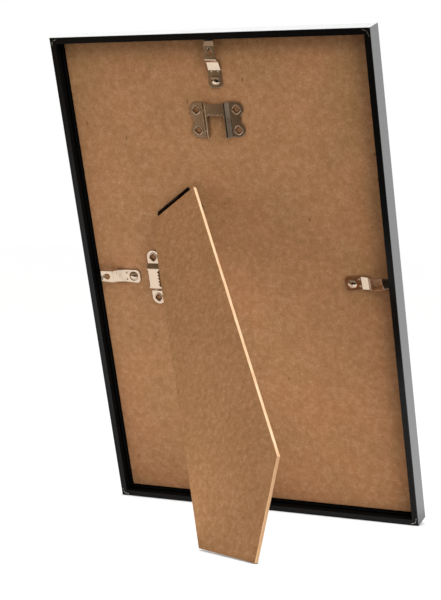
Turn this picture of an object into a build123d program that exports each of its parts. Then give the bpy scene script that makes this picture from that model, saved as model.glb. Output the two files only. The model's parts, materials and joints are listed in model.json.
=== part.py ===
from build123d import *
import os
from math import acos, asin, atan2, cos, degrees, hypot, radians, sin

# Easel back photo frame, standing on its open strut.
# It is drawn in the frame's own axes, as seen from behind: x to the right, y up the frame, z out of the back.
# Zero is the middle of the frame, in the plane of its rear rims. The last section stands it on the floor.
# Lengths are in millimetres, angles in degrees.

# Rails
frame_width = 210.0
frame_height = 310.0
frame_depth = 14.0
rail_wall = 4.0
rail_face = 9.0
lip_thickness = 1.7
front_round = 2.0
rim_round = 0.4
sight_round = 0.8

# Groove in the rails' inner walls, which the clips' tongues reach into
groove_depth = 1.6
groove_height = 2.4
groove_from_rim = 5.1

# V nails across the mitres
nail_leg = 3.2
nail_thickness = 0.5
nail_height = 7.0
nail_cover = 0.4
nail_tilt = 18.0

# Pane, print and back board, stacked behind the lip
pane_thickness = 1.5
print_thickness = 0.3
board_thickness = 2.5
rebate_clearance = 1.0

# Turn clips, with lengths from the rivet towards the tip, and heights above the flat heel or the tongue
clip_sheet = 0.7
clip_play = 0.12
clip_reach = 26.0
clip_engagement = 0.9
clip_heel = 4.7
clip_heel_width = 9.1
clip_waist_width = 8.3
clip_shoulder_width = 7.1
clip_tongue_width = 5.2
clip_heel_round = 2.8
clip_tongue_round = 0.9
clip_bend_radius = 0.8
clip_ramp_start = 6.1
clip_ramp_end = 11.5
clip_ramp_rise = 1.9
clip_plate_start = 13.2
clip_plate_over_tongue = 1.7
clip_shoulder = 21.3
clip_shoulder_over_tongue = 1.9
clip_drop_radius = 1.85
clip_drop_middle = 17.0
clip_drop_point = 21.0
clip_dimple_radius = 0.6
clip_dimple_depth = 0.35
clip_dimple_along = 4.9
clip_dimple_spacing = 4.3

# Where each clip's rivet lies off the middle of its rail, to the right of it as the rail is set at the top
top_clip_shift = 1.1
left_clip_shift = -0.9
bottom_clip_shift = 2.5
right_clip_shift = 0.0

# How far each clip was left turned, anticlockwise as seen from behind
clip_turn_angles = {"top": -1.2, "left": -2.3, "bottom": 0.0, "right": 5.0}

# Domed rivets that the clips turn on
clip_rivet_head_radius = 3.0
clip_rivet_rim_height = 0.3
clip_rivet_dome_height = 1.2
clip_rivet_shank_radius = 1.5
pivot_clearance = 0.08

# Riveting through the board, closed in a recess in its front
clinch_overlap = 0.8
clinch_thickness = 0.5
clinch_room = 0.2
shank_fit = 0.01

# Sawtooth hangers, in their own axes: x across, y towards the top
hanger_from_top = 54.0
hanger_from_side = 52.5
hanger_shift = -1.0
hanger_sheet = 0.8
hanger_hole_across = 26.8
hanger_hole_along = 12.6
hanger_hole_side = 4.0
hanger_hole_round = 1.2
hanger_lobe_radius = 4.5
hanger_waist = 31.6
hanger_riser_span = 18.0
hanger_bridge_span = 13.0
hanger_bridge_rise = 2.4
hanger_bridge_height = 7.6
hanger_bridge_inset = 0.7
hanger_bend_radius = 0.9
hanger_tooth_pitch = 2.1
hanger_tooth_depth = 1.2
hanger_tooth_count = 5
hanger_collar_wall = 0.8
hanger_collar_depth = 1.4
hanger_lip_height = 0.4
hanger_lip_round = 0.35

# Strut hinge: the middle of its pin on the board, and the slant of the pin to the frame's top
hinge_x = -38.2
hinge_y = 48.6
hinge_slant = 34.9
hinge_length = 29.0
hinge_pin_radius = 0.55
hinge_pin_clearance = 0.05
hinge_pin_overhang = 0.4
hinge_leaf_thickness = 0.5
hinge_barrel_gap = 0.2
hinge_knuckle_gap = 0.2
hinge_board_leaf_length = 13.0
hinge_board_leaf_flange = 2.0
hinge_strut_leaf_length = 17.0
hinge_heel_thickness = 0.8
hinge_stop_gap = 0.05
hinge_rivet_head_radius = 1.9
hinge_rivet_head_height = 0.4
hinge_rivet_shank_radius = 0.9
board_rivet_spacing = 18.0
board_rivet_along = 6.5
strut_rivet_spacing = 16.4
strut_rivet_along = 10.2
strut_rivet_shift = -3.8
strut_rivet_depth = 1.9

# Strut, with its two feet parallel to the rails when it is closed
strut_thickness = 2.5
strut_opening = 38.6
strut_setback = 3.3
strut_top_width = 39.5
strut_top_shift = -2.0
strut_edge_gap = 0.5
portrait_foot = 47.0
landscape_foot = 59.5

# How far every cut runs past what it cuts
overrun = 1.0

# Derived places
window_width = frame_width - 2 * rail_wall
window_height = frame_height - 2 * rail_wall
pane_front = lip_thickness - frame_depth
print_front = pane_front + pane_thickness
board_front = print_front + print_thickness
board_rear = board_front + board_thickness
clip_base = clip_play + clip_sheet / 2
clip_tongue_rise = -groove_from_rim - board_rear - clip_base
clip_plate_rise = clip_tongue_rise + clip_plate_over_tongue
clip_shoulder_rise = clip_tongue_rise + clip_shoulder_over_tongue
hanger_height = hanger_hole_along + 2 * hanger_lobe_radius
hinge_barrel_radius = hinge_pin_radius + hinge_pin_clearance + hinge_leaf_thickness
hinge_axis_height = hinge_barrel_radius + hinge_barrel_gap
hinge_knuckle_length = (hinge_length - 2 * hinge_knuckle_gap) / 3
hinge_knuckle_pitch = hinge_knuckle_length + hinge_knuckle_gap
opening = radians(strut_opening)
heel_half = hinge_heel_thickness / 2
heel_reach = (hinge_axis_height - hinge_stop_gap - heel_half * cos(opening)) / sin(opening)
heel_room = heel_reach * cos(opening) + heel_half * sin(opening) + hinge_knuckle_gap

# The sides in order, each a quarter turn anticlockwise from the one before
sides = ("top", "left", "bottom", "right")
clip_shifts = {
    "top": top_clip_shift,
    "left": left_clip_shift,
    "bottom": bottom_clip_shift,
    "right": right_clip_shift,
}
MIN_XY = (Align.MIN, Align.CENTER)
ON_BASE = (Align.CENTER, Align.CENTER, Align.MIN)
FROM_AXIS = (Align.CENTER, Align.MIN, Align.MIN)
TO_AXIS = (Align.CENTER, Align.MAX, Align.MIN)


def side_turn(side):
    """The turn that takes the top to another side."""
    return Rot(0, 0, 90 * sides.index(side))


def span_and_across(side):
    """The length of a side, and the frame's size across from it to the opposite side."""
    if side in ("top", "bottom"):
        return frame_width, frame_height
    return frame_height, frame_width


def corner_of(sketch, x, y):
    """The sketch's corner nearest to a point."""
    return sketch.vertices().sort_by_distance((x, y, 0))[0]


def disc(radius, low, high):
    """A round plug on the z axis between two heights."""
    return Pos(0, 0, low) * Cylinder(radius, high - low, align=ON_BASE)


def ball_under(cap_radius, cap_height):
    """A ball with its top at zero, whose cap of that height has that radius."""
    radius = (cap_radius**2 + cap_height**2) / (2 * cap_height)
    return Pos(0, 0, -radius) * Sphere(radius)


def rail_section():
    """A rail's section: x inwards from the outer side, y forwards from the rear rim."""
    groove_rear = groove_from_rim - groove_height / 2
    groove_front = groove_from_rim + groove_height / 2
    groove_floor = rail_wall - groove_depth
    section = make_face(Polyline(
        (0, 0),
        (rail_wall, 0),
        (rail_wall, groove_rear),
        (groove_floor, groove_rear),
        (groove_floor, groove_front),
        (rail_wall, groove_front),
        (rail_wall, -pane_front),
        (rail_face, -pane_front),
        (rail_face, frame_depth),
        (0, frame_depth),
        close=True,
    ))
    section = fillet(corner_of(section, 0, 0), rim_round)
    section = fillet(corner_of(section, 0, frame_depth), front_round)
    return fillet(corner_of(section, rail_face, frame_depth), sight_round)


def rail(side):
    """One rail with mitred ends, drawn as the top rail and turned to its side."""
    span, across = span_and_across(side)
    half, reach = span / 2, across / 2
    start = Plane(origin=(-half, reach, 0), x_dir=(0, -1, 0), z_dir=(1, 0, 0))
    bar = extrude(start * rail_section(), span)
    inner_half, inner_reach = half - rail_face - overrun, reach - rail_face - overrun
    mitre = Polygon(
        (-inner_half, inner_reach),
        (inner_half, inner_reach),
        (half + overrun, reach + overrun),
        (-half - overrun, reach + overrun),
        align=None,
    )
    block = Pos(0, 0, overrun) * extrude(mitre, -frame_depth - 2 * overrun)
    return side_turn(side) * (bar & block)


def corner_nails():
    """A V nail across each mitre, its point towards the frame's middle, driven in flush with the rims."""
    inset = rail_wall - groove_depth - nail_cover
    leg = Rectangle(nail_leg, nail_thickness, align=MIN_XY)
    chevron = Rot(0, 0, nail_tilt) * leg + Rot(0, 0, -90 - nail_tilt) * leg
    nail = Pos(inset, -inset, 0) * extrude(chevron, -nail_height)
    driven = []
    for side in sides:
        span, across = span_and_across(side)
        driven.append(side_turn(side) * Pos(-span / 2, across / 2, 0) * nail)
    return driven


def panel(front, thickness):
    """A flat sheet that lies in the rebate."""
    width = window_width - 2 * rebate_clearance
    height = window_height - 2 * rebate_clearance
    return Pos(0, 0, front) * Box(width, height, thickness, align=ON_BASE)


def clip_place(side):
    """The place of a clip's rivet on the board's rear face, with x pointing at the rail."""
    _, across = span_and_across(side)
    along = across / 2 - rail_wall - clip_reach
    return side_turn(side) * Pos(clip_shifts[side], along, board_rear) * Rot(0, 0, 90 + clip_turn_angles[side])


def clip_outline():
    """A clip seen from behind: a rounded heel, a tapered body and a narrower tongue."""
    tip = clip_reach + clip_engagement
    heel, waist = clip_heel_width / 2, clip_waist_width / 2
    shoulder, tongue = clip_shoulder_width / 2, clip_tongue_width / 2
    outline = Polygon(
        (-clip_heel, -heel),
        (clip_ramp_start, -waist),
        (clip_shoulder, -shoulder),
        (tip, -tongue),
        (tip, tongue),
        (clip_shoulder, shoulder),
        (clip_ramp_start, waist),
        (-clip_heel, heel),
        align=None,
    )
    for edge in (-1, 1):
        outline = fillet(corner_of(outline, -clip_heel, edge * heel), clip_heel_round)
        outline = fillet(corner_of(outline, tip, edge * tongue), clip_tongue_round)
    return outline


def teardrop():
    """The hole in a clip: a circle drawn out to a point towards the tongue."""
    reach = clip_drop_point - clip_drop_middle
    tangent = acos(clip_drop_radius / reach)
    touch_x = clip_drop_middle + clip_drop_radius * cos(tangent)
    touch_y = clip_drop_radius * sin(tangent)
    cone = Polygon((clip_drop_point, 0), (touch_x, touch_y), (touch_x, -touch_y), align=None)
    heart = Polygon((clip_drop_middle, 0), (touch_x, -touch_y), (touch_x, touch_y), align=None)
    return Pos(clip_drop_middle, 0) * Circle(clip_drop_radius) + cone + heart


def turn_clip():
    """A sprung strip on the board, about its rivet: flat heel, ramp, riser, raised plate and tongue."""
    line = FilletPolyline(
        (-clip_heel, 0),
        (clip_ramp_start, 0),
        (clip_ramp_end, clip_ramp_rise),
        (clip_plate_start, clip_plate_rise),
        (clip_shoulder, clip_shoulder_rise),
        (clip_reach + clip_engagement, clip_tongue_rise),
        radius=clip_bend_radius,
    )
    side_view = Plane(origin=(0, clip_heel_width / 2, clip_base), x_dir=(1, 0, 0), z_dir=(0, -1, 0))
    ribbon = extrude(side_view * trace(line, clip_sheet), clip_heel_width)
    top = clip_base + max(clip_ramp_rise, clip_plate_rise, clip_shoulder_rise) + clip_sheet + overrun
    strip = ribbon & extrude(clip_outline(), top)
    strip -= extrude(teardrop(), top)
    dimple_floor = clip_play + clip_sheet - clip_dimple_depth
    punch = Rot(180, 0, 0) * ball_under(clip_dimple_radius, clip_dimple_depth)
    for edge in (-1, 1):
        strip -= Pos(clip_dimple_along, edge * clip_dimple_spacing / 2, dimple_floor) * punch
    return strip - disc(clip_rivet_shank_radius + pivot_clearance, -overrun, top)


def board_rivet(head_radius, head_height, shank_radius, head_base):
    """A rivet through the board, about the board's rear face, with its head behind and its clinch in front."""
    recess = clinch_thickness + clinch_room - board_thickness
    head = disc(head_radius, head_base, head_base + head_height)
    shank = disc(shank_radius, recess, head_base)
    clinch = disc(shank_radius + clinch_overlap, clinch_room - board_thickness, recess)
    return head + shank + clinch


def board_rivet_hole(shank_radius):
    """The hole through the board for such a rivet, with the recess for its clinch."""
    bore = disc(shank_radius + shank_fit, -board_thickness - overrun, overrun)
    recess = clinch_thickness + clinch_room - board_thickness
    return bore + disc(shank_radius + clinch_overlap + clinch_room, -board_thickness - overrun, recess)


def clip_rivet():
    """A clip's rivet, with a dome on its head, and room under the head for the clip to turn."""
    head_base = 2 * clip_play + clip_sheet
    rim_top = head_base + clip_rivet_rim_height
    dome_top = rim_top + clip_rivet_dome_height
    rivet = board_rivet(clip_rivet_head_radius, clip_rivet_rim_height, clip_rivet_shank_radius, head_base)
    ball = Pos(0, 0, dome_top) * ball_under(clip_rivet_head_radius, clip_rivet_dome_height)
    return rivet + (ball & disc(clip_rivet_head_radius, rim_top, dome_top))


def hanger_outline():
    """A hanger seen from behind: four round lobes, waisted at the sides."""
    across, along = hanger_hole_across / 2, hanger_hole_along / 2
    outline = Rectangle(hanger_hole_across, hanger_height) + Rectangle(hanger_waist, hanger_hole_along)
    for x in (-across, across):
        for y in (-along, along):
            outline += Pos(x, y) * Circle(hanger_lobe_radius)
    return outline


def sawtooth_hanger():
    """A stamped hanger on the board: pierced plates, full risers, and a toothed bridge over the upper part."""
    reach = hanger_hole_across / 2 + hanger_lobe_radius
    base, top = hanger_riser_span / 2, hanger_bridge_span / 2
    low = hanger_sheet / 2
    high = low + hanger_bridge_rise
    line = FilletPolyline(
        (-reach, low), (-base, low), (-top, high), (top, high), (base, low), (reach, low),
        radius=hanger_bend_radius,
    )
    half = hanger_height / 2
    side_view = Plane(origin=(0, half, 0), x_dir=(1, 0, 0), z_dir=(0, -1, 0))
    ribbon = extrude(side_view * trace(line, hanger_sheet), hanger_height)
    crest = high + low + overrun
    plate = ribbon & extrude(hanger_outline(), crest)

    bridge_top = half - hanger_bridge_inset
    bridge_foot = bridge_top - hanger_bridge_height
    gap = hanger_bridge_span - 2 * hanger_bend_radius
    above = Pos(0, bridge_top) * Rectangle(gap, half, align=(Align.CENTER, Align.MIN))
    below = Pos(0, bridge_foot) * Rectangle(gap, hanger_height, align=(Align.CENTER, Align.MAX))
    for tooth in range(hanger_tooth_count):
        x = (tooth - (hanger_tooth_count - 1) / 2) * hanger_tooth_pitch
        below += Polygon(
            (x - hanger_tooth_pitch / 2, bridge_foot),
            (x + hanger_tooth_pitch / 2, bridge_foot),
            (x, bridge_foot + hanger_tooth_depth),
            align=None,
        )
    plate -= extrude(above + below, crest)

    hole = RectangleRounded(hanger_hole_side, hanger_hole_side, hanger_hole_round)
    collar_side = hanger_hole_side + 2 * hanger_collar_wall
    collar = RectangleRounded(collar_side, collar_side, hanger_hole_round + hanger_collar_wall) - hole
    ring = extrude(collar, hanger_collar_depth + hanger_sheet + hanger_lip_height)
    ring = fillet(ring.edges().group_by(Axis.Z)[-1], hanger_lip_round)
    punch = extrude(hole, hanger_collar_depth + crest)
    for x in (-hanger_hole_across / 2, hanger_hole_across / 2):
        for y in (-hanger_hole_along / 2, hanger_hole_along / 2):
            place = Pos(x, y, -hanger_collar_depth) * Rot(0, 0, 45)
            plate = plate - place * punch + place * ring
    return plate


def hinge_leaf(length, places, bore):
    """A hinge leaf about the pin: barrel along x, and a plate along y on the board's side of the pin."""
    relief = hinge_barrel_radius + hinge_knuckle_gap
    foot = Pos(0, 0, -hinge_axis_height)
    plate = foot * Pos(0, relief, 0) * Box(
        hinge_length, length - relief, hinge_leaf_thickness, align=FROM_AXIS)
    for x in places:
        plate += Pos(x, 0, 0) * foot * Box(hinge_knuckle_length, relief, hinge_leaf_thickness, align=FROM_AXIS)
        plate += Pos(x, 0, 0) * Rot(0, 90, 0) * Cylinder(hinge_barrel_radius, hinge_knuckle_length)
    return plate - Rot(0, 90, 0) * Cylinder(bore, hinge_length + 2 * overrun)


def rivet_places(spacing, shift, along):
    """Two places side by side on a hinge leaf."""
    return [Pos(shift + side * spacing / 2, along, 0) for side in (-1, 1)]


board_rivet_places = rivet_places(board_rivet_spacing, 0, board_rivet_along)
strut_rivet_places = rivet_places(strut_rivet_spacing, strut_rivet_shift, strut_rivet_along)


def hinge_hole():
    """The hole in a leaf for one of its rivets."""
    reach = hinge_axis_height + overrun
    return disc(hinge_rivet_shank_radius + shank_fit, -reach, reach)


def hinge_board_leaf():
    """The leaf on the board: two outer knuckles that grip the pin, and a flange with a window for the stop."""
    outer_places = (-hinge_knuckle_pitch, hinge_knuckle_pitch)
    leaf = hinge_leaf(hinge_board_leaf_length, outer_places, hinge_pin_radius + shank_fit)
    foot = Pos(0, 0, -hinge_axis_height)
    for x in outer_places:
        leaf += Pos(x, 0, 0) * foot * Box(
            hinge_knuckle_length, hinge_board_leaf_flange, hinge_leaf_thickness, align=TO_AXIS)
    leaf += Pos(0, -heel_room, 0) * foot * Box(
        hinge_length, hinge_board_leaf_flange - heel_room, hinge_leaf_thickness, align=TO_AXIS)
    leaf -= Rot(0, 90, 0) * Cylinder(hinge_pin_radius + shank_fit, hinge_length + 2 * overrun)
    for place in board_rivet_places:
        leaf -= place * hinge_hole()
    return leaf


def hinge_strut_leaf():
    """The leaf on the strut, closed: the middle knuckle, and a heel that stops on the board when it opens."""
    leaf = mirror(
        hinge_leaf(hinge_strut_leaf_length, (0,), hinge_pin_radius + hinge_pin_clearance), about=Plane.XY)
    start = hinge_pin_radius + hinge_pin_clearance + hinge_leaf_thickness / 2
    heel = Pos(0, -start, 0) * Box(
        hinge_knuckle_length, heel_reach - start, hinge_heel_thickness, align=(Align.CENTER, Align.MAX, Align.CENTER))
    leaf += heel
    for place in strut_rivet_places:
        leaf -= place * hinge_hole()
    return leaf


def strut_rivet():
    """A rivet of the strut leaf, about the pin's height, with its end buried in the strut."""
    leaf_face = hinge_axis_height - hinge_leaf_thickness
    head = disc(hinge_rivet_head_radius, leaf_face - hinge_rivet_head_height, leaf_face)
    return head + disc(hinge_rivet_shank_radius, leaf_face, hinge_axis_height + strut_rivet_depth)


def in_hinge_axes(x, y):
    """A point of the closed strut, given on the frame, as a place along the pin and a place down the strut."""
    slant = radians(hinge_slant)
    right, up = x - hinge_x, y - hinge_y
    return -right * cos(slant) - up * sin(slant), right * sin(slant) - up * cos(slant)


foot_x = window_width / 2 - strut_edge_gap
foot_y = strut_edge_gap - window_height / 2
foot_tip = in_hinge_axes(foot_x, foot_y)


def strut():
    """The strut, closed: five sides, of which two are feet and the top is set back from the pin."""
    half = strut_top_width / 2
    outline = Polygon(
        (strut_top_shift - half, strut_setback),
        (strut_top_shift + half, strut_setback),
        in_hinge_axes(foot_x - portrait_foot, foot_y),
        foot_tip,
        in_hinge_axes(foot_x, foot_y + landscape_foot),
        align=None,
    )
    plate = Pos(0, 0, hinge_axis_height) * extrude(outline, strut_thickness)
    for place in strut_rivet_places:
        plate -= place * disc(hinge_rivet_shank_radius + shank_fit, 0, hinge_axis_height + strut_rivet_depth)
    return plate


# Hinge axes: x down along the pin, y down the closed strut, z out of the back
slant = radians(hinge_slant)
hinge_plane = Plane(
    origin=(hinge_x, hinge_y, board_rear + hinge_axis_height),
    x_dir=(-cos(slant), -sin(slant), 0),
    z_dir=(0, 0, 1),
)
on_board = hinge_plane.location
on_strut = on_board * Rot(strut_opening, 0, 0)
below_pin = on_board * Pos(0, 0, -hinge_axis_height)

# Hangers: one upright below the top, one turned for the frame on its side
hanger_portrait_place = Pos(hanger_shift, frame_height / 2 - hanger_from_top, board_rear)
hanger_landscape_place = Pos(hanger_from_side - frame_width / 2, hanger_shift, board_rear) * Rot(0, 0, 90)

# Pieces, in the frame's axes
pieces = {}
nails = corner_nails()
for side in sides:
    bar = rail(side)
    for nail in nails:
        bar -= nail
    pieces[f"rail_{side}"] = bar
pieces["corner_nails"] = Compound(children=nails)
pieces["glazing_pane"] = panel(pane_front, pane_thickness)
pieces["print_sheet"] = panel(print_front, print_thickness)
pieces["hanger_portrait"] = hanger_portrait_place * sawtooth_hanger()
pieces["hanger_landscape"] = hanger_landscape_place * sawtooth_hanger()
board = panel(board_front, board_thickness) - pieces["hanger_portrait"] - pieces["hanger_landscape"]
for side in sides:
    board -= clip_place(side) * board_rivet_hole(clip_rivet_shank_radius)
for place in board_rivet_places:
    board -= below_pin * place * board_rivet_hole(hinge_rivet_shank_radius)
pieces["back_board"] = board
for side in sides:
    pieces[f"clip_{side}"] = clip_place(side) * turn_clip()
pieces["clip_rivets"] = Compound(children=[clip_place(side) * clip_rivet() for side in sides])
pieces["hinge_board_leaf"] = on_board * hinge_board_leaf()
pieces["hinge_pin"] = on_board * Rot(0, 90, 0) * Cylinder(hinge_pin_radius, hinge_length + 2 * hinge_pin_overhang)
hinge_rivet = board_rivet(
    hinge_rivet_head_radius, hinge_rivet_head_height, hinge_rivet_shank_radius, hinge_leaf_thickness)
pieces["hinge_board_rivets"] = Compound(children=[below_pin * place * hinge_rivet for place in board_rivet_places])
pieces["hinge_strut_leaf"] = on_strut * hinge_strut_leaf()
pieces["hinge_strut_rivets"] = Compound(children=[on_strut * place * strut_rivet() for place in strut_rivet_places])
pieces["strut"] = on_strut * strut()

# Standing: the frame leans back until its rounded lower rear edge and the strut's foot both touch the floor
foot = (on_strut * Pos(*foot_tip, hinge_axis_height)).position
foot_rise = foot.Y + frame_height / 2 - rim_round
foot_back = foot.Z + rim_round
lean = atan2(foot_rise, foot_back) + asin(rim_round / hypot(foot_rise, foot_back))
leaning = Plane(origin=(0, 0, 0), x_dir=(-1, 0, 0), z_dir=(0, cos(lean), -sin(lean))).location

# The origin is on the floor, under the middle of the standing frame's box
box = Compound(children=[leaning * piece for piece in pieces.values()]).bounding_box()
standing = Pos(-box.center().X, -box.center().Y, -box.min.Z) * leaning

os.makedirs("parts", exist_ok=True)
for name, piece in pieces.items():
    export_step(standing * piece, f"parts/{name}.step")
print(f"lean {degrees(lean):.2f} degrees, strut open {strut_opening:.1f} degrees")
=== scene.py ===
"""Dresses the easel back photo frame, which is seen from behind, and sets it in a plain pale studio."""

import json
import logging
import math
from dataclasses import dataclass
from enum import Enum
from typing import Any, Union

import bmesh
import bpy
from mathutils import Euler, Matrix, Vector

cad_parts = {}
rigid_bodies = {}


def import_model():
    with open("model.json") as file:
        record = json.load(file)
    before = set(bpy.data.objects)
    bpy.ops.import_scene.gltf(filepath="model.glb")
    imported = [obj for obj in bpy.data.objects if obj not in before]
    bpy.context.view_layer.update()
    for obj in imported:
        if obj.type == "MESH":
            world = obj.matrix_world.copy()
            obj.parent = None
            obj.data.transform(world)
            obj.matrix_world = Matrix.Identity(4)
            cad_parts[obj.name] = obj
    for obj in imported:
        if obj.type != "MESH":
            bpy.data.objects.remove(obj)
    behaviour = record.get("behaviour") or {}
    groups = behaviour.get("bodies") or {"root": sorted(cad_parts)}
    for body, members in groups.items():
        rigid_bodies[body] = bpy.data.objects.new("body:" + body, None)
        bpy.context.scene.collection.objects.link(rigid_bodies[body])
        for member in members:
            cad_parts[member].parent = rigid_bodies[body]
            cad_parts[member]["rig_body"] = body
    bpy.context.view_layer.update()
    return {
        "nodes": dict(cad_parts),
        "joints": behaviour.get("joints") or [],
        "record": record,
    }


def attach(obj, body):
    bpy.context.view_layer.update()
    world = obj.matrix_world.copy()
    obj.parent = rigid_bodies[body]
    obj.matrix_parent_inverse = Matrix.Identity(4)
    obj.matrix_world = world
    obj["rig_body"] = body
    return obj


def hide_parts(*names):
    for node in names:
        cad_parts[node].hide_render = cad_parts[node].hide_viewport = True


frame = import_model()

log = logging.getLogger("photo_frame")

MM = 0.001
WHITE = (1.0, 1.0, 1.0, 1.0)
UP = Vector((0, 0, 1))
Colour = tuple[float, float, float]
Point = tuple[float, float, float]
Span = tuple[float, float]
Socket = bpy.types.NodeSocket

# The screen's standard curve: straight below the knee, a power of the shifted share above it
CURVE_KNEE = 0.04045
CURVE_FOOT = 12.92
CURVE_SHIFT = 0.055
CURVE_POWER = 2.4


def srgb(red: int, green: int, blue: int) -> Colour:
    """The linear colour of a screen colour.

    Args:
        red: The red channel, from 0 to 255.
        green: The green channel, from 0 to 255.
        blue: The blue channel, from 0 to 255.

    Returns:
        The three channels as a shader takes them.
    """
    def linear(channel: int) -> float:
        """One channel without the screen's curve."""
        share = channel / 255
        if share <= CURVE_KNEE:
            return share / CURVE_FOOT
        return ((share + CURVE_SHIFT) / (1 + CURVE_SHIFT)) ** CURVE_POWER

    return linear(red), linear(green), linear(blue)


class Side(Enum):
    """The frame's sides as seen from behind, with the way outwards in the frame's own axes."""

    TOP = (0.0, 1.0, 0.0)
    LEFT = (-1.0, 0.0, 0.0)
    BOTTOM = (0.0, -1.0, 0.0)
    RIGHT = (1.0, 0.0, 0.0)

    @property
    def word(self) -> str:
        """The side's name as the nodes spell it."""
        return self.name.lower()


@dataclass(frozen=True)
class Axes:
    """A piece's own axes in the row frame: x to the right and y up as seen from behind, z out of the back."""

    origin: Vector
    x: Vector
    y: Vector
    z: Vector

    def place(self, x: float, y: float, z: float) -> Vector:
        """The row-frame point at a place in these axes, in metres."""
        return self.origin + self.x * x + self.y * y + self.z * z

    def way(self, direction: Point) -> Vector:
        """The row-frame direction of a direction in these axes."""
        return self.x * direction[0] + self.y * direction[1] + self.z * direction[2]

    def turn(self) -> Euler:
        """The turn from the row frame to these axes."""
        return Matrix((self.x, self.y, self.z)).transposed().to_euler()


def board_axes(record: dict[str, Any], rest_from_middle: float = 152.8 * MM) -> Axes:
    """The frame's own axes, with zero at its middle in the plane of the rear rims.

    Args:
        record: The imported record, whose wall rest lies on the top rail's rear rim.
        rest_from_middle: How far up the frame from its middle the wall rest lies.

    Returns:
        The axes.
    """
    rest = next(mount for mount in record["mounts"] if mount["name"] == "wall_rest")
    out = Vector(rest["axis"]).normalized()
    right = Vector((-1, 0, 0))
    up = out.cross(right)
    return Axes(Vector(rest["pos_m"]) - up * rest_from_middle, right, up, out)


def strut_axes(board: Axes, joints: list[dict[str, Any]]) -> Axes:
    """The open strut's own axes, with zero on its hinge pin.

    Args:
        board: The frame's own axes.
        joints: The record's joints, of which strut_fold closes the strut on the board.

    Returns:
        The axes: x along the pin, y up the strut, z out of its face.
    """
    fold = next(joint for joint in joints if joint["name"] == "strut_fold")
    pin = Vector(fold["axis"]).normalized()
    opening = Matrix.Rotation(-math.radians(fold["range_deg"][1]), 3, pin)
    out = opening @ board.z
    return Axes(Vector(fold["pos_m"]), pin, out.cross(pin), out)


class Value:
    """A number in a shader: a socket that takes part in sums, products and steps."""

    def __init__(self, sheet: "NodeSheet", socket: Socket) -> None:
        """Wraps a socket.

        Args:
            sheet: The nodes that the socket belongs to.
            socket: The socket that gives the number.
        """
        self.sheet = sheet
        self.socket = socket

    def maths(self, operation: str, *terms: "Number") -> "Value":
        """The result of a Math node on some terms."""
        node = self.sheet.add("ShaderNodeMath", {"operation": operation}, dict(enumerate(terms)))
        return Value(self.sheet, node.outputs[0])

    def __add__(self, other: "Number") -> "Value":
        """This number and another."""
        return self.maths("ADD", self, other)

    def __radd__(self, other: "Number") -> "Value":
        """Another number and this one."""
        return self.maths("ADD", other, self)

    def __sub__(self, other: "Number") -> "Value":
        """This number less another."""
        return self.maths("SUBTRACT", self, other)

    def __rsub__(self, other: "Number") -> "Value":
        """Another number less this one."""
        return self.maths("SUBTRACT", other, self)

    def __mul__(self, other: "Number") -> "Value":
        """This number times another."""
        return self.maths("MULTIPLY", self, other)

    def __rmul__(self, other: "Number") -> "Value":
        """Another number times this one."""
        return self.maths("MULTIPLY", other, self)

    def __abs__(self) -> "Value":
        """The number without its sign."""
        return self.maths("ABSOLUTE", self)

    def at_least(self, other: "Number") -> "Value":
        """The greater of this number and another."""
        return self.maths("MAXIMUM", self, other)

    def swing(self, middle: float = 0.5) -> "Value":
        """How far a noise lies from its middle value."""
        return self - middle

    def step(self, low: float, high: float) -> "Value":
        """A smooth step from 0 to 1 as the number goes from low to high, either way round."""
        node = self.sheet.add(
            "ShaderNodeMapRange", {"interpolation_type": "SMOOTHSTEP", "clamp": True},
            {"Value": self, "From Min": low, "From Max": high})
        return Value(self.sheet, node.outputs[0])


Number = Union[float, Value]
Input = Union[float, Colour, Point, Value, Vector, Euler, Socket]
Inputs = dict[Union[str, int], Input]


@dataclass(frozen=True)
class Flecks:
    """Scattered spots, one at most in each cell.

    Attributes:
        spacing: The size of a cell, in metres.
        size: The radius of the largest spot, in metres.
        share: The share of cells that hold a spot.
        stretch: How much longer the spots are drawn along each axis.
        sure: The part of that share whose spots are at full strength.
        core: The part of a spot's radius that is at full strength.
    """

    spacing: float
    size: float
    share: float
    stretch: Point = (1.0, 1.0, 1.0)
    sure: float = 0.6
    core: float = 0.45


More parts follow.
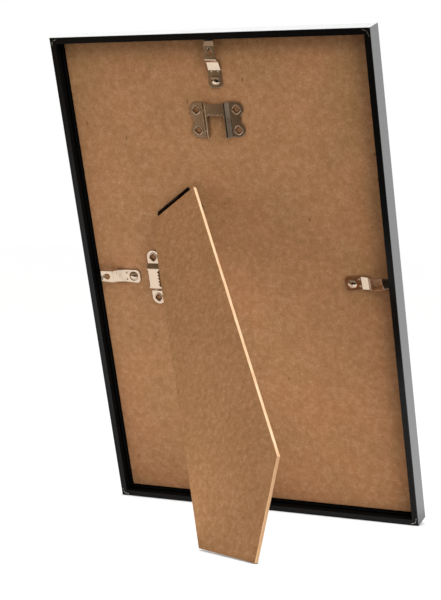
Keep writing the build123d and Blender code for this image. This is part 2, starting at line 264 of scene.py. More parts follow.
class NodeSheet:
    """A node tree under construction."""

    def __init__(self, tree: bpy.types.NodeTree) -> None:
        """Clears a tree and takes it over.

        Args:
            tree: The node tree of a material or of the world.
        """
        self.tree = tree
        tree.nodes.clear()

    def add(self, kind: str, settings: dict[str, Any], inputs: Inputs) -> bpy.types.Node:
        """Adds a node.

        Args:
            kind: The node's type.
            settings: What is set on the node before its sockets.
            inputs: The values or links of its sockets, by name or by number.

        Returns:
            The node.
        """
        node = self.tree.nodes.new(kind)
        for name, value in settings.items():
            setattr(node, name, value)
        for key, value in inputs.items():
            socket = node.inputs[key]
            if isinstance(value, Value):
                self.tree.links.new(value.socket, socket)
            elif isinstance(value, Socket):
                self.tree.links.new(value, socket)
            elif socket.type == "RGBA":
                socket.default_value = (*value[:3], 1.0)
            else:
                socket.default_value = value
        return node

    def places(self, axes: Axes, stretch: Point = (1.0, 1.0, 1.0)) -> Socket:
        """The surface's place in a piece's own axes, in metres.

        Args:
            axes: The axes to read the place in.
            stretch: How much longer a pattern is drawn along each axis.

        Returns:
            The socket with the place.
        """
        here = self.add("ShaderNodeTexCoord", {}, {}).outputs["Object"]
        node = self.add(
            "ShaderNodeMapping", {"vector_type": "TEXTURE"},
            {"Vector": here, "Location": axes.origin, "Rotation": axes.turn(), "Scale": stretch})
        return node.outputs[0]

    def along(self, direction: Vector) -> Value:
        """How far the surface faces a row-frame direction, from -1 to 1."""
        facing = self.add("ShaderNodeTexCoord", {}, {}).outputs["Normal"]
        node = self.add("ShaderNodeVectorMath", {"operation": "DOT_PRODUCT"}, {0: facing, 1: direction})
        return Value(self, node.outputs["Value"])

    def noise(self, place: Socket, grain: float, detail: float = 3.0, rough: float = 0.55) -> Value:
        """Cloudy noise about the middle value 0.5.

        Args:
            place: The surface's place.
            grain: The size of a cloud, in metres.
            detail: How many finer layers it has.
            rough: How strong the finer layers are.

        Returns:
            The noise, from 0 to 1.
        """
        node = self.add(
            "ShaderNodeTexNoise", {"noise_dimensions": "3D"},
            {"Vector": place, "Scale": 1 / grain, "Detail": detail, "Roughness": rough})
        return Value(self, node.outputs["Fac"])

    def flecks(self, axes: Axes, spots: Flecks) -> Value:
        """Scattered spots on a piece.

        Args:
            axes: The piece's own axes.
            spots: How large and how many they are.

        Returns:
            A mask that is 1 in a spot.
        """
        place = self.places(axes, spots.stretch)
        cells = self.add(
            "ShaderNodeTexVoronoi", {"feature": "F1"}, {"Vector": place, "Scale": 1 / spots.spacing})
        reach = Value(self, cells.outputs["Distance"])
        chance = self.add("ShaderNodeSeparateColor", {}, {"Color": cells.outputs["Color"]})
        chosen = Value(self, chance.outputs[0]).step(1 - spots.share, 1 - spots.share * spots.sure)
        radius = spots.size / spots.spacing
        return reach.step(radius, radius * spots.core) * chosen

    def nooks(self, reach: float, samples: int = 12) -> Value:
        """How far a place is closed in by what stands within reach of it.

        Args:
            reach: How far away a neighbour still counts, in metres.
            samples: How many ways are tried at each place.

        Returns:
            The share that is closed in, from 0 to 1.
        """
        node = self.add("ShaderNodeAmbientOcclusion", {"samples": samples}, {"Distance": reach})
        return 1.0 - Value(self, node.outputs["AO"])

    def ray(self, kind: str) -> Value:
        """1 for rays of one kind, such as Camera or Shadow, and 0 for the others."""
        return Value(self, self.add("ShaderNodeLightPath", {}, {}).outputs[f"Is {kind} Ray"])

    def part(self, place: Socket, axis: int) -> Value:
        """One of the three numbers of a place or direction."""
        return Value(self, self.add("ShaderNodeSeparateXYZ", {}, {0: place}).outputs[axis])

    def mix(self, share: Number, first: Input, second: Input) -> Socket:
        """A colour between two others.

        Args:
            share: How much of the second colour shows.
            first: The colour at 0.
            second: The colour at 1.

        Returns:
            The socket with the colour.
        """
        # A Mix node's sockets for colours are 6 and 7, and its colour comes out at 2
        node = self.add(
            "ShaderNodeMix", {"data_type": "RGBA", "clamp_factor": True}, {0: share, 6: first, 7: second})
        return node.outputs[2]

    def bump(self, height: Value, depth: float, strength: float = 1.0) -> Socket:
        """The facing of a surface with small hills.

        Args:
            height: The hills, from 0 to 1.
            depth: The height of a full hill, in metres.
            strength: How much of the relief is used.

        Returns:
            The socket for a shader's Normal.
        """
        node = self.add("ShaderNodeBump", {}, {"Height": height, "Distance": depth, "Strength": strength})
        return node.outputs[0]

    def surface(self, inputs: Inputs) -> Socket:
        """A Principled surface, with its sockets by name."""
        return self.add("ShaderNodeBsdfPrincipled", {}, inputs).outputs[0]

    def blend(self, share: Number, first: Socket, second: Socket) -> Socket:
        """A surface between two others, of which share is the second."""
        return self.add("ShaderNodeMixShader", {}, {0: share, 1: first, 2: second}).outputs[0]

    def finish(self, surface: Socket, kind: str = "ShaderNodeOutputMaterial") -> None:
        """Sends a surface to the output."""
        self.add(kind, {}, {"Surface": surface})


class Finish:
    """A finish that can be put on pieces."""

    def material(self, name: str) -> bpy.types.Material:
        """Makes the finish as a material.

        Args:
            name: The material's name.

        Returns:
            The material.
        """
        material = bpy.data.materials.new(name)
        material.use_nodes = True
        sheet = NodeSheet(material.node_tree)
        sheet.finish(self.nodes(sheet))
        return material

    def nodes(self, sheet: NodeSheet) -> Socket:
        """Draws the finish and gives its surface."""
        raise NotImplementedError


@dataclass(frozen=True)
class Hardboard(Finish):
    """Pressed brown fibreboard with a smooth fibrous face and paler sawn edges."""

    axes: Axes
    tone: Colour = srgb(160, 117, 77)
    warm_tone: Colour = srgb(168, 119, 80)
    fleck_tone: Colour = srgb(92, 60, 36)
    # Painted shade: the tone that the face darkens to where nearby parts and rails close it in
    grime_tone: Colour = srgb(70, 44, 24)
    edge_tone: Colour = srgb(240, 206, 168)
    edge_streak_tone: Colour = srgb(216, 175, 132)
    # Painted shade: the darker tone of sawn edges that face down
    low_edge_tone: Colour = srgb(168, 127, 88)
    cloud: float = 34 * MM
    cloud_span: Span = (0.35, 0.65)
    mottle: float = 3.2 * MM
    fibre: float = 0.9 * MM
    fibre_share: float = 0.9
    pale_share: float = 0.55
    upright_flecks: Flecks = Flecks(6.5 * MM, 0.75 * MM, 0.34, (1.0, 2.2, 1.0))
    lying_flecks: Flecks = Flecks(11 * MM, 0.7 * MM, 0.30, (2.4, 1.0, 1.0))
    fleck_share: float = 0.62
    # Painted shade in nooks: its strength, how far a neighbour counts, and the closing in at which it begins
    # and is full
    grime: float = 0.5
    grime_reach: float = 3 * MM
    grime_span: Span = (0.04, 0.5)
    layer: float = 1.0 * MM
    layer_stretch: Point = (9.0, 9.0, 0.6)
    layer_span: Span = (0.38, 0.66)
    # Painted shade on downward edges: where it begins and how strong it is
    low_span: Span = (-0.25, 0.05)
    low_share: float = 0.8
    sawn_span: Span = (0.93, 0.55)
    roughness: float = 0.70
    fibre_roughness: float = 0.3
    sawn_roughness: float = 0.14
    fibre_relief: float = 0.6
    relief: float = 0.05 * MM

    def nodes(self, sheet: NodeSheet) -> Socket:
        """Fibres, mottling and dark flecks on the faces, thin layers on the edges, and painted shade in nooks
        and on downward edges.
        """
        place = sheet.places(self.axes)
        clouds = sheet.noise(place, self.cloud)
        mottle = sheet.noise(place, self.mottle, detail=4.0, rough=0.6)
        fibre = sheet.noise(place, self.fibre, detail=2.0, rough=0.7)
        tone = sheet.mix(clouds.step(*self.cloud_span), self.tone, self.warm_tone)
        shade = mottle.swing() + fibre.swing() * self.fibre_share
        dark = sheet.mix((shade * -1).at_least(0.0), tone, self.fleck_tone)
        face = sheet.mix(shade.at_least(0.0) * self.pale_share, dark, self.edge_tone)
        upright = sheet.flecks(self.axes, self.upright_flecks)
        lying = sheet.flecks(self.axes, self.lying_flecks)
        face = sheet.mix(upright.at_least(lying) * self.fleck_share, face, self.fleck_tone)
        # Painted shade: the face darkens where nearby parts close it in, standing for contact shadow around
        # hardware and rails
        grime = sheet.nooks(self.grime_reach).step(*self.grime_span) * self.grime
        face = sheet.mix(grime, face, self.grime_tone)
        layers = sheet.noise(sheet.places(self.axes, self.layer_stretch), self.layer, detail=2.0)
        edge = sheet.mix(layers.step(*self.layer_span), self.edge_tone, self.edge_streak_tone)
        # Painted shade: sawn edges that face down are darkened, because less light reaches them
        low = sheet.along(-UP).step(*self.low_span) * self.low_share
        edge = sheet.mix(low, edge, self.low_edge_tone)
        sawn = abs(sheet.along(self.axes.z)).step(*self.sawn_span)
        hills = fibre * self.fibre_relief + mottle * (1 - self.fibre_relief)
        return sheet.surface({
            "Base Color": sheet.mix(sawn, face, edge),
            "Roughness": self.roughness + fibre.swing() * self.fibre_roughness + sawn * self.sawn_roughness,
            "Specular IOR Level": 0.16,
            "Normal": sheet.bump(hills, self.relief, strength=0.5),
        })


@dataclass(frozen=True)
class NickelPlate(Finish):
    """Bright nickel plating on stamped steel, with faint rolling lines, smudges and small scuffs."""

    axes: Axes
    tone: Colour = (0.73, 0.57, 0.43)
    dull_tone: Colour = (0.58, 0.44, 0.32)
    roughness: float = 0.14
    smudge: float = 5.5 * MM
    tarnish_span: Span = (0.50, 0.78)
    tarnish_share: float = 0.7
    tarnish_roughness: float = 0.12
    scuff: float = 0.5 * MM
    scuff_roughness: float = 0.08
    line: float = 0.35 * MM
    line_stretch: Point = (1.0, 14.0, 1.0)
    line_relief: float = 0.5
    relief: float = 0.018 * MM

    def nodes(self, sheet: NodeSheet) -> Socket:
        """Smudged bright metal with fine lengthwise lines."""
        place = sheet.places(self.axes)
        smudges = sheet.noise(place, self.smudge, detail=4.0)
        scuffs = sheet.noise(place, self.scuff, detail=2.0, rough=0.7)
        lines = sheet.noise(sheet.places(self.axes, self.line_stretch), self.line, detail=1.0)
        tarnish = smudges.step(*self.tarnish_span) * self.tarnish_share
        hills = lines * self.line_relief + smudges * (1 - self.line_relief)
        wear = tarnish * self.tarnish_roughness + scuffs.swing() * self.scuff_roughness
        return sheet.surface({
            "Base Color": sheet.mix(tarnish, self.tone, self.dull_tone),
            "Metallic": 1.0,
            "Roughness": self.roughness + wear,
            "Normal": sheet.bump(hills, self.relief, strength=0.1),
        })


@dataclass(frozen=True)
class BlackMoulding(Finish):
    """A rail's finish: black lacquer outside and in front, thin satin black behind, dead black inside."""

    axes: Axes
    side: Side
    lacquer_tone: Colour = (0.010, 0.010, 0.011)
    thin_tone: Colour = (0.002, 0.002, 0.002)
    dust_tone: Colour = (0.35, 0.34, 0.33)
    line: float = 0.8 * MM
    line_stretch: float = 30.0
    cloud: float = 22 * MM
    grain: float = 0.6 * MM
    specks: Flecks = Flecks(26 * MM, 0.42 * MM, 0.22)
    roughness: float = 0.24
    lacquer_line_roughness: float = 0.16
    cloud_roughness: float = 0.10
    thin_grain_roughness: float = 0.12
    dead_roughness: float = 0.75
    dead_grain_roughness: float = 0.2
    lacquer_relief: float = 0.012 * MM
    thin_relief: float = 0.02 * MM
    grain_relief: float = 0.5
    outer_span: Span = (0.45, 0.7)
    front_span: Span = (0.1, 0.35)
    inner_span: Span = (0.6, 0.85)

    def nodes(self, sheet: NodeSheet) -> Socket:
        """Lacquer with fine lengthwise lines, parted from the other faces by the way the surface faces."""
        across = self.side in (Side.TOP, Side.BOTTOM)
        stretch = (self.line_stretch, 1.0, 1.0) if across else (1.0, self.line_stretch, 1.0)
        lines = sheet.noise(sheet.places(self.axes, stretch), self.line, detail=3.0, rough=0.65)
        place = sheet.places(self.axes)
        clouds = sheet.noise(place, self.cloud)
        grain = sheet.noise(place, self.grain, detail=2.0)
        specks = sheet.flecks(self.axes, self.specks)
        streaks = lines.swing() * self.lacquer_line_roughness + clouds.swing() * self.cloud_roughness
        lacquer = sheet.surface({
            "Base Color": self.lacquer_tone,
            "Roughness": self.roughness + streaks,
            "Coat Weight": 1.0,
            "Coat Roughness": 0.16,
            "Normal": sheet.bump(lines, self.lacquer_relief, strength=0.35),
        })
        hills = grain * self.grain_relief + lines * (1 - self.grain_relief)
        thin = sheet.surface({
            "Base Color": sheet.mix(specks, self.thin_tone, self.dust_tone),
            "Roughness": self.roughness + (grain.swing() + lines.swing()) * self.thin_grain_roughness,
            "Specular IOR Level": 0.24,
            "Normal": sheet.bump(hills, self.thin_relief, strength=0.25),
        })
        dead = sheet.surface({
            "Base Color": self.thin_tone,
            "Roughness": self.dead_roughness + grain.swing() * self.dead_grain_roughness,
            "Specular IOR Level": 0.04,
        })
        way = self.axes.way(self.side.value)
        outer = sheet.along(way).step(*self.outer_span)
        front = sheet.along(-self.axes.z).step(*self.front_span)
        inner = sheet.along(-way).step(*self.inner_span)
        return sheet.blend(outer.at_least(front), sheet.blend(inner, thin, dead), lacquer)


@dataclass(frozen=True)
class BlackEnamel(Finish):
    """Thin black enamel on the strut's hinge, rubbed in patches."""

    axes: Axes
    tone: Colour = (0.003, 0.002, 0.0015)
    rubbed_tone: Colour = (0.010, 0.008, 0.006)
    rub: float = 2.5 * MM
    rub_span: Span = (0.55, 0.75)
    grain: float = 0.4 * MM
    roughness: float = 0.55
    grain_roughness: float = 0.2
    relief: float = 0.02 * MM

    def nodes(self, sheet: NodeSheet) -> Socket:
        """Dull black with rubbed spots."""
        place = sheet.places(self.axes)
        rubbed = sheet.noise(place, self.rub, detail=4.0).step(*self.rub_span)
        grain = sheet.noise(place, self.grain, detail=2.0)
        return sheet.surface({
            "Base Color": sheet.mix(rubbed, self.tone, self.rubbed_tone),
            "Roughness": self.roughness + grain.swing() * self.grain_roughness,
            "Specular IOR Level": 0.04,
            "Normal": sheet.bump(grain, self.relief, strength=0.5),
        })


@dataclass(frozen=True)
class DrawnSteel(Finish):
    """Bare drawn steel for nails and small rivets, with dull patches.

    Attributes:
        axes: The axes that its drawn lines follow.
        tone: The bright metal.
        dull_tone: The dull patches.
        patch: The size of a patch, in metres.
        patch_span: The noise at which a patch ends and bright metal begins.
        line: The width of a drawn line, in metres.
        line_stretch: How much longer the lines are drawn along each axis.
        roughness: The metal's own.
        line_roughness: How much the lines change it.
        relief: The height of the lines, in metres.
    """

    axes: Axes
    tone: Colour = (0.52, 0.51, 0.50)
    dull_tone: Colour = (0.10, 0.095, 0.09)
    patch: float = 1.6 * MM
    patch_span: Span = (0.50, 0.55)
    line: float = 0.3 * MM
    line_stretch: Point = (1.0, 1.0, 12.0)
    roughness: float = 0.32
    line_roughness: float = 0.2
    relief: float = 0.015 * MM

    def nodes(self, sheet: NodeSheet) -> Socket:
        """Grey metal with dark patches."""
        patches = sheet.noise(sheet.places(self.axes), self.patch, detail=3.0).step(*self.patch_span)
        lines = sheet.noise(sheet.places(self.axes, self.line_stretch), self.line)
        return sheet.surface({
            "Base Color": sheet.mix(patches, self.dull_tone, self.tone),
            "Metallic": 1.0,
            "Roughness": self.roughness + lines.swing() * self.line_roughness,
            "Normal": sheet.bump(lines, self.relief, strength=0.5),
        })


@dataclass(frozen=True)
class PaneGlass(Finish):
    """Clear picture glass with a little dust."""

    axes: Axes
    tone: Colour = (0.94, 0.97, 0.955)
    haze: float = 18 * MM
    haze_span: Span = (0.5, 0.8)
    roughness: float = 0.01
    haze_roughness: float = 0.03
    lamp_share: float = 0.9

    def nodes(self, sheet: NodeSheet) -> Socket:
        """Clear glass, very slightly hazed in patches, that lets the lamps' light straight through."""
        haze = sheet.noise(sheet.places(self.axes), self.haze, detail=4.0).step(*self.haze_span)
        return sheet.surface({
            "Base Color": self.tone,
            "Roughness": self.roughness + haze * self.haze_roughness,
            "Transmission Weight": 1.0,
            "IOR": 1.5,
            "Alpha": 1.0 - sheet.ray("Shadow") * self.lamp_share,
        })


@dataclass(frozen=True)
class BlankPaper(Finish):
    """A blank sheet of matt paper."""

    axes: Axes
    tone: Colour = srgb(240, 237, 230)
    shade_tone: Colour = srgb(231, 227, 218)
    fibre: float = 0.7 * MM
    fibre_share: float = 0.6
    cloud: float = 30 * MM
    roughness: float = 0.82
    fibre_roughness: float = 0.2
    relief: float = 0.02 * MM

    def nodes(self, sheet: NodeSheet) -> Socket:
        """Fine paper fibres."""
        place = sheet.places(self.axes)
        fibres = sheet.noise(place, self.fibre, detail=4.0)
        clouds = sheet.noise(place, self.cloud)
        shade = fibres * self.fibre_share + clouds * (1 - self.fibre_share)
        return sheet.surface({
            "Base Color": sheet.mix(shade, self.tone, self.shade_tone),
            "Roughness": self.roughness + fibres.swing() * self.fibre_roughness,
            "Normal": sheet.bump(fibres, self.relief, strength=0.4),
        })


@dataclass(frozen=True)
class Easing:
    """How a piece's sharp edges are broken.

    Attributes:
        width: The width of the rounding, in metres.
        segments: How many facets it has.
        shrink: How far the faces are drawn in, so that they don't lie in a neighbour's.
        sharpest: The least angle between two faces that counts as a sharp outer edge.
    """

    width: float
    segments: int = 3
    shrink: float = 0.0
    sharpest: float = math.radians(34)


WELD = 0.0005 * MM
FLAT = math.radians(0.4)
CREASE = math.radians(46)


def eased_copy(node: str, name: str, easing: Easing) -> bpy.types.Object:
    """Copies a node's shape as a welded mesh with eased edges, which stands for the node.

    Args:
        node: The CAD node to copy.
        name: The new piece's name.
        easing: How its edges are eased.

    Returns:
        The new piece, riding on the node's body.
    """
    source = frame["nodes"][node]
    shape = bmesh.new()
    shape.from_mesh(source.data)
    bmesh.ops.remove_doubles(shape, verts=shape.verts, dist=WELD)
    bmesh.ops.dissolve_limit(shape, angle_limit=FLAT, verts=shape.verts, edges=shape.edges)
    shape.normal_update()
    for corner, inward in [(vert, vert.normal * vert.calc_shell_factor()) for vert in shape.verts]:
        corner.co -= inward * easing.shrink
    sharp = [edge for edge in shape.edges
             if edge.is_manifold and edge.is_convex and edge.calc_face_angle() > easing.sharpest]
    bmesh.ops.bevel(
        shape, geom=sharp, offset=easing.width, offset_type="OFFSET", segments=easing.segments, profile=0.5,
        affect="EDGES", clamp_overlap=False, material=-1)
    for face in shape.faces:
        face.smooth = True
    mesh = bpy.data.meshes.new(name)
    shape.to_mesh(mesh)
    shape.free()
    mesh.set_sharp_from_angle(angle=CREASE)
    piece = bpy.data.objects.new(name, mesh)
    bpy.context.scene.collection.objects.link(piece)
    piece.modifiers.new("even_shading", "WEIGHTED_NORMAL").keep_sharp = True
    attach(piece, source["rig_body"])
    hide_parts(node)
    return piece


def dress(piece: bpy.types.Object, material: bpy.types.Material) -> None:
    """Gives a piece its finish and reports it.

    Args:
        piece: The piece.
        material: Its material.
    """
    piece.data.materials.clear()
    piece.data.materials.append(material)
    log.info("%s wears %s", piece.name, material.name)


@dataclass
class Moulding:
    """The four mitred rails and the nails across their corners."""

    axes: Axes
    rail_easing: Easing = Easing(0.16 * MM)
    nail_easing: Easing = Easing(0.06 * MM, segments=2)
    nail_patches: Span = (0.35, 0.55)

    def build(self) -> None:
        """Makes and dresses the rails and nails."""
        for side in Side:
            rail = eased_copy(f"rail_{side.word}", f"{side.word}_moulding", self.rail_easing)
            finish = BlackMoulding(self.axes, side).material(f"black_moulding_{side.word}")
            dress(rail, finish)
        nails = eased_copy("corner_nails", "mitre_nails", self.nail_easing)
        steel = DrawnSteel(self.axes, patch_span=self.nail_patches)
        dress(nails, steel.material("nail_steel"))


@dataclass
class PicturePack:
    """What the frame holds: the pane, the blank print and the back board."""

    axes: Axes
    pane_easing: Easing = Easing(0.15 * MM, segments=2, shrink=0.06 * MM)
    board_easing: Easing = Easing(0.18 * MM)

    def build(self) -> None:
        """Makes and dresses the pane, print and board."""
        pane = eased_copy("glazing_pane", "picture_glass", self.pane_easing)
        dress(pane, PaneGlass(self.axes).material("picture_glass"))
        dress(frame["nodes"]["print_sheet"], BlankPaper(self.axes).material("blank_print"))
        board = eased_copy("back_board", "hardboard_back", self.board_easing)
        dress(board, Hardboard(self.axes).material("hardboard_back"))


@dataclass
class TurnClips:
    """The sprung clips that hold the board, and the domed rivets that they turn on."""

    axes: Axes
    clip_easing: Easing = Easing(0.22 * MM, segments=4)
    rivet_easing: Easing = Easing(0.12 * MM)
    rivet_roughness: float = 0.10

    def build(self) -> None:
        """Makes and dresses the clips and rivets."""
        plate = NickelPlate(self.axes).material("clip_nickel")
        for side in Side:
            clip = eased_copy(f"clip_{side.word}", f"{side.word}_turn_clip", self.clip_easing)
            dress(clip, plate)
        rivets = eased_copy("clip_rivets", "domed_rivets", self.rivet_easing)
        brighter = NickelPlate(self.axes, roughness=self.rivet_roughness).material("rivet_nickel")
        dress(rivets, brighter)


@dataclass
class SawtoothHangers:
    """The two stamped hangers."""

    axes: Axes
    easing: Easing = Easing(0.2 * MM, segments=4)
    roughness: float = 0.13

    def build(self) -> None:
        """Makes and dresses the hangers."""
        plate = NickelPlate(self.axes, roughness=self.roughness).material("hanger_nickel")
        for way in ("portrait", "landscape"):
            hanger = eased_copy(f"hanger_{way}", f"{way}_sawtooth_hanger", self.easing)
            dress(hanger, plate)


@dataclass
class EaselStrut:
    """The hinged leg, its black hinge and the hinge's rivets.

    Attributes:
        board: The frame's own axes.
        axes: The open strut's own axes.
        strut_easing: How the leg's edges are eased.
        leaf_easing: How the hinge's edges are eased.
        strut_tone: The leg's face, a little darker than the board's.
        strut_warm_tone: The warmer clouds on it.
    """

    board: Axes
    axes: Axes
    strut_easing: Easing = Easing(0.35 * MM)
    leaf_easing: Easing = Easing(0.10 * MM, segments=2)
    strut_tone: Colour = srgb(158, 114, 73)
    strut_warm_tone: Colour = srgb(164, 117, 77)

    def build(self) -> None:
        """Makes and dresses the strut and its hinge."""
        face = Hardboard(self.axes, tone=self.strut_tone, warm_tone=self.strut_warm_tone)
        leg = eased_copy("strut", "easel_leg", self.strut_easing)
        dress(leg, face.material("hardboard_leg"))
        enamel = BlackEnamel(self.board).material("hinge_enamel")
        for node, name in (
                ("hinge_board_leaf", "fixed_hinge_leaf"), ("hinge_strut_leaf", "moving_hinge_leaf"),
                ("hinge_pin", "hinge_wire"), ("hinge_board_rivets", "fixed_leaf_rivets")):
            dress(eased_copy(node, name, self.leaf_easing), enamel)
        steel = DrawnSteel(self.axes).material("leg_rivet_steel")
        dress(eased_copy("hinge_strut_rivets", "leg_rivets", self.leaf_easing), steel)


@dataclass(frozen=True)
class PaleFloor(Finish):
    """A matt white sheet that looks white and keeps a faint shadow.

    Attributes:
        share: How much of what is seen is plain white.
        tone: The sheet's own colour.
        glow: How bright the plain white is.
        under_span: Where, from behind to under the frame, shiny surfaces stop seeing plain white.
        under_side_span: Where, from the frame's right to under it, they do so.
        contact_reach: How close a thing stands to shade the sheet.
        contact_span: The closing in at which that shade begins and is full.
        contact_share: How much of the white the full shade takes.
    """

    share: float
    tone: Colour = (0.86, 0.86, 0.86)
    glow: float = 1.12
    under_span: Span = (0.08, -0.02)
    under_side_span: Span = (-0.13, -0.11)
    contact_reach: float = 7 * MM
    contact_span: Span = (0.1, 0.6)
    contact_share: float = 0.8

    def nodes(self, sheet: NodeSheet) -> Socket:
        """Matt white as light falls on it, and mostly plain white as it is seen."""
        seen = sheet.ray("Camera").at_least(sheet.ray("Transmission"))
        place = sheet.add("ShaderNodeTexCoord", {}, {}).outputs["Object"]
        behind = sheet.part(place, 1).step(*self.under_span)
        under = behind * sheet.part(place, 0).step(*self.under_side_span)
        mirrored = sheet.ray("Glossy") * (1.0 - under)
        contact = sheet.nooks(self.contact_reach).step(*self.contact_span)
        lit = sheet.add("ShaderNodeBsdfDiffuse", {}, {"Color": self.tone})
        white = sheet.add("ShaderNodeEmission", {}, {"Color": WHITE, "Strength": self.glow})
        shown = seen.at_least(mirrored) * (1.0 - contact * self.contact_share)
        return sheet.blend(shown * self.share, lit.outputs[0], white.outputs[0])


@dataclass(frozen=True)
class PlainCard(Finish):
    """A card that glows with one even tone in any light: painted shade for shiny metal to mirror and for
    bounce light.
    """

    tone: Colour

    def nodes(self, sheet: NodeSheet) -> Socket:
        """One even tone."""
        return sheet.add("ShaderNodeEmission", {}, {"Color": self.tone, "Strength": 1.0}).outputs[0]


@dataclass(frozen=True)
class RoomFloor(Finish):
    """Glowing tones on the floor beyond the white sheet, which shiny metal mirrors: painted reflection of the
    darker room.

    Attributes:
        left_tone: Brown, at the left seen from behind.
        middle_tone: Dark brown.
        near_tone: Nearly black.
        right_tone: Grey patches, at the right.
        near_span: Where, across the floor, dark brown gives way to black.
        right_span: Where the grey patches begin.
        patch: The size of a patch, in metres.
        patch_span: The noise at which a patch begins and is full.
        slant: How far the brown floor's edge runs across for each metre away.
        left_span: Where the brown floor begins, along that edge.
    """

    left_tone: Colour = (0.29, 0.22, 0.15)
    middle_tone: Colour = (0.095, 0.072, 0.050)
    near_tone: Colour = (0.012, 0.010, 0.007)
    right_tone: Colour = (0.42, 0.41, 0.39)
    near_span: Span = (0.12, -0.02)
    right_span: Span = (-0.28, -0.42)
    patch: float = 0.07
    patch_span: Span = (0.36, 0.66)
    slant: float = 0.43
    left_span: Span = (0.066, 0.078)

    def nodes(self, sheet: NodeSheet) -> Socket:
        """Soft changes of tone from left to right, in the row frame."""
        place = sheet.add("ShaderNodeTexCoord", {}, {}).outputs["Object"]
        across, away = sheet.part(place, 0), sheet.part(place, 1)
        tone = sheet.mix(across.step(*self.near_span), self.middle_tone, self.near_tone)
        patches = sheet.noise(place, self.patch, detail=2.0).step(*self.patch_span)
        tone = sheet.mix(across.step(*self.right_span) * patches, tone, self.right_tone)
        tone = sheet.mix((across - away * self.slant).step(*self.left_span), tone, self.left_tone)
        return sheet.add("ShaderNodeEmission", {}, {"Color": tone, "Strength": 1.0}).outputs[0]


@dataclass(frozen=True)
class Lamp:
    """A square softbox.

    Attributes:
        name: What it is called.
        place: Where its middle hangs.
        aim: What it points at.
        size: The length of its sides.
        power: In watts.
        mirrored: Whether shiny surfaces show it.
    """

    name: str
    place: Point
    aim: Point
    size: float
    power: float
    mirrored: bool = False

    def hang(self) -> None:
        """Hangs the softbox in its place."""
        light = bpy.data.lights.new(self.name, "AREA")
        light.shape = "SQUARE"
        light.size = self.size
        light.energy = self.power
        hung = bpy.data.objects.new(self.name, light)
        bpy.context.scene.collection.objects.link(hung)
        hung.visible_glossy = self.mirrored
        hung.visible_camera = False
        hung.location = self.place
        hung.rotation_euler = (Vector(self.place) - Vector(self.aim)).to_track_quat("Z", "Y").to_euler()


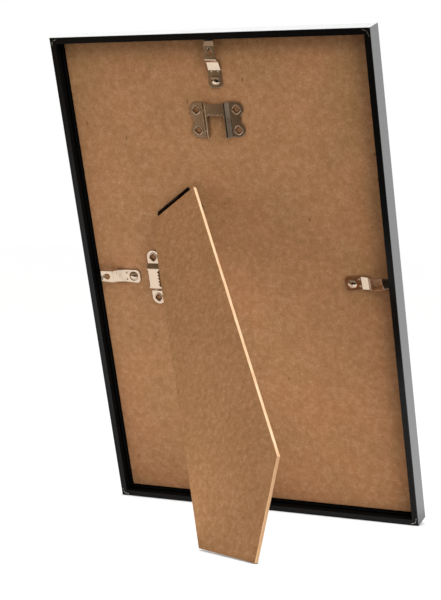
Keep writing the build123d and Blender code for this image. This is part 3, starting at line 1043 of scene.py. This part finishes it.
@dataclass
class Studio:
    """A pale floor in soft light, and the photograph's camera.

    Attributes:
        axes: The frame's own axes.
        stand: Where the camera stands in those axes, in metres.
        aim: What it looks at, in the plane of the rear rims.
        roll: How far it is turned about its line of sight.
        focal_length: In the photograph's pixels.
        image_height: The photograph's longer side, in pixels.
        sensor: The size of the sensor along that side, in millimetres.
        nearest: The least distance that the camera sees, in metres.
        floor_reach: How far the white sheet goes each way, in metres.
        floor_share: How much of the seen sheet is plain white.
        ambient: How bright the world is as light.
        cards: Glowing sheets of painted reflection and shade on the floor, each with a place on its edge, the
            way along it and its finish.
        card_reach: Half the length of a card's sides, in metres.
        card_lift: How far a card lies above the sheet, in metres.
        low_room_tone: The room behind the camera, low down, as shiny surfaces see it.
        high_room_tone: The same room higher up.
        room_span: Where, from the front to the camera's side, that room begins and is full.
        high_span: Where, upwards, its higher tone begins and is full.
        lamps: The softboxes.
    """

    axes: Axes
    stand: Point = (466.73 * MM, 339.62 * MM, 874.75 * MM)
    aim: Point = (-11.19 * MM, -11.55 * MM, 0.0)
    roll: float = math.radians(1.09)
    focal_length: float = 1714.5
    image_height: float = 600.0
    sensor: float = 36.0
    nearest: float = 0.01
    floor_reach: float = 6.0
    floor_share: float = 0.88
    ambient: float = 0.06
    cards: tuple[tuple[Point, Point, Finish], ...] = (
        # Glowing sheets of painted reflection and shade, for shiny metal and bounce light
        ((-0.086, 0.148, 0.0), (0.922, 0.387, 0.0), RoomFloor()),
        ((0.50, 0.0, 0.0), (0.0, -1.0, 0.0), PlainCard((0.12, 0.08, 0.045))),
    )
    card_reach: float = 3.0
    card_lift: float = 1 * MM
    low_room_tone: Colour = (0.36, 0.30, 0.24)
    high_room_tone: Colour = (0.15, 0.115, 0.08)
    room_span: Span = (0.0, 0.3)
    high_span: Span = (0.15, 0.5)
    lamps: tuple[Lamp, ...] = (
        Lamp("right_softbox", (-1.376, 0.686, 0.552), (0.0, -0.02, 0.15), 1.2, 25.0),
        Lamp("upper_softbox", (-0.40, 1.02, 1.25), (0.0, -0.02, 0.15), 1.2, 17.0),
        Lamp("floor_glow", (0.08, 0.10, 0.003), (0.08, 0.10, 1.0), 0.2, 0.18),
        Lamp("left_fill", (0.60, 0.30, 0.30), (0.0, 0.0, 0.15), 0.4, 0.5),
        Lamp("front_fill", (0.55, -1.35, 0.95), (0.0, 0.0, 0.15), 1.2, 5.0),
        Lamp("rim_glint", (0.70, -1.17, 1.00), (0.0, 0.0, 0.25), 1.0, 2.2, mirrored=True),
    )

    def build(self) -> None:
        """Sets the floor, the light and the camera."""
        bpy.context.scene.view_settings.view_transform = "Standard"
        self.floor()
        for edge, way, surface in self.cards:
            self.card(edge, way, surface)
        self.surroundings()
        for lamp in self.lamps:
            lamp.hang()
        self.camera()

    def flat_sheet(self, name: str, size: float, place: Matrix, surface: Finish) -> bpy.types.Object:
        """Lays a flat square of one surface.

        Args:
            name: The square's name.
            size: The length of its sides.
            place: Its middle and its turn.
            surface: What draws its material.

        Returns:
            The square.
        """
        shape = bmesh.new()
        bmesh.ops.create_grid(shape, x_segments=1, y_segments=1, size=size / 2, matrix=place)
        mesh = bpy.data.meshes.new(name)
        shape.to_mesh(mesh)
        shape.free()
        square = bpy.data.objects.new(name, mesh)
        bpy.context.scene.collection.objects.link(square)
        mesh.materials.append(surface.material(name))
        return square

    def floor(self) -> None:
        """Lays a pale floor, white to the camera apart from the object's soft shadow."""
        self.flat_sheet("pale_floor", 2 * self.floor_reach, Matrix(), PaleFloor(self.floor_share))

    def card(self, edge: Point, way: Point, surface: Finish) -> None:
        """Lays a glowing card of painted reflection and shade on the floor for shiny metal to mirror, which
        the camera doesn't see.

        Args:
            edge: A place on the card's edge.
            way: The way along its edge, with the card to the left of it.
            surface: What draws its material.
        """
        along = Vector(way).normalized()
        inward = UP.cross(along)
        turn = Matrix((along, inward, UP)).transposed().to_4x4()
        middle = Matrix.Translation(Vector(edge) + inward * self.card_reach + UP * self.card_lift)
        card = self.flat_sheet("floor_card", 2 * self.card_reach, middle @ turn, surface)
        card.visible_camera = False
        card.visible_shadow = False
        card.visible_transmission = False

    def surroundings(self) -> None:
        """Sets a white world, dimmer as light than it looks, which shiny surfaces see as a darker room."""
        world = bpy.data.worlds.new("white_studio")
        bpy.context.scene.world = world
        world.use_nodes = True
        sheet = NodeSheet(world.node_tree)
        clear = sheet.ray("Camera").at_least(sheet.ray("Transmission"))
        shiny = sheet.ray("Glossy")
        way = sheet.add("ShaderNodeTexCoord", {}, {}).outputs["Generated"]
        behind = sheet.part(way, 1).step(*self.room_span) * shiny
        high = sheet.part(way, 2).step(*self.high_span) * behind
        tone = sheet.mix(high, sheet.mix(behind, WHITE, self.low_room_tone), self.high_room_tone)
        light = sheet.add("ShaderNodeBackground", {}, {"Color": WHITE, "Strength": self.ambient})
        look = sheet.add("ShaderNodeBackground", {}, {"Color": tone, "Strength": 1.0})
        shown = sheet.blend(clear.at_least(shiny), light.outputs[0], look.outputs[0])
        sheet.finish(shown, "ShaderNodeOutputWorld")

    def camera(self) -> None:
        """Stands the camera where the photograph was taken."""
        lens = bpy.data.cameras.new("photo_camera")
        lens.sensor_fit = "AUTO"
        lens.sensor_width = self.sensor
        lens.lens = self.focal_length * self.sensor / self.image_height
        lens.clip_start = self.nearest
        stand = self.axes.place(*self.stand)
        back = (stand - self.axes.place(*self.aim)).normalized()
        right = UP.cross(back).normalized()
        level = Matrix((right, back.cross(right), back)).transposed()
        turn = level @ Matrix.Rotation(self.roll, 3, "Z")
        camera = bpy.data.objects.new("photo_camera", lens)
        camera.matrix_world = Matrix.Translation(stand) @ turn.to_4x4()
        bpy.context.scene.collection.objects.link(camera)
        bpy.context.scene.camera = camera


def main() -> None:
    """Builds every sub-assembly in order and sets the studio."""
    logging.basicConfig(level=logging.INFO, format="%(message)s")
    board = board_axes(frame["record"])
    strut = strut_axes(board, frame["joints"])
    for part in (Moulding(board), PicturePack(board), TurnClips(board), SawtoothHangers(board),
                 EaselStrut(board, strut), Studio(board)):
        part.build()


if __name__ == "__main__":
    main()
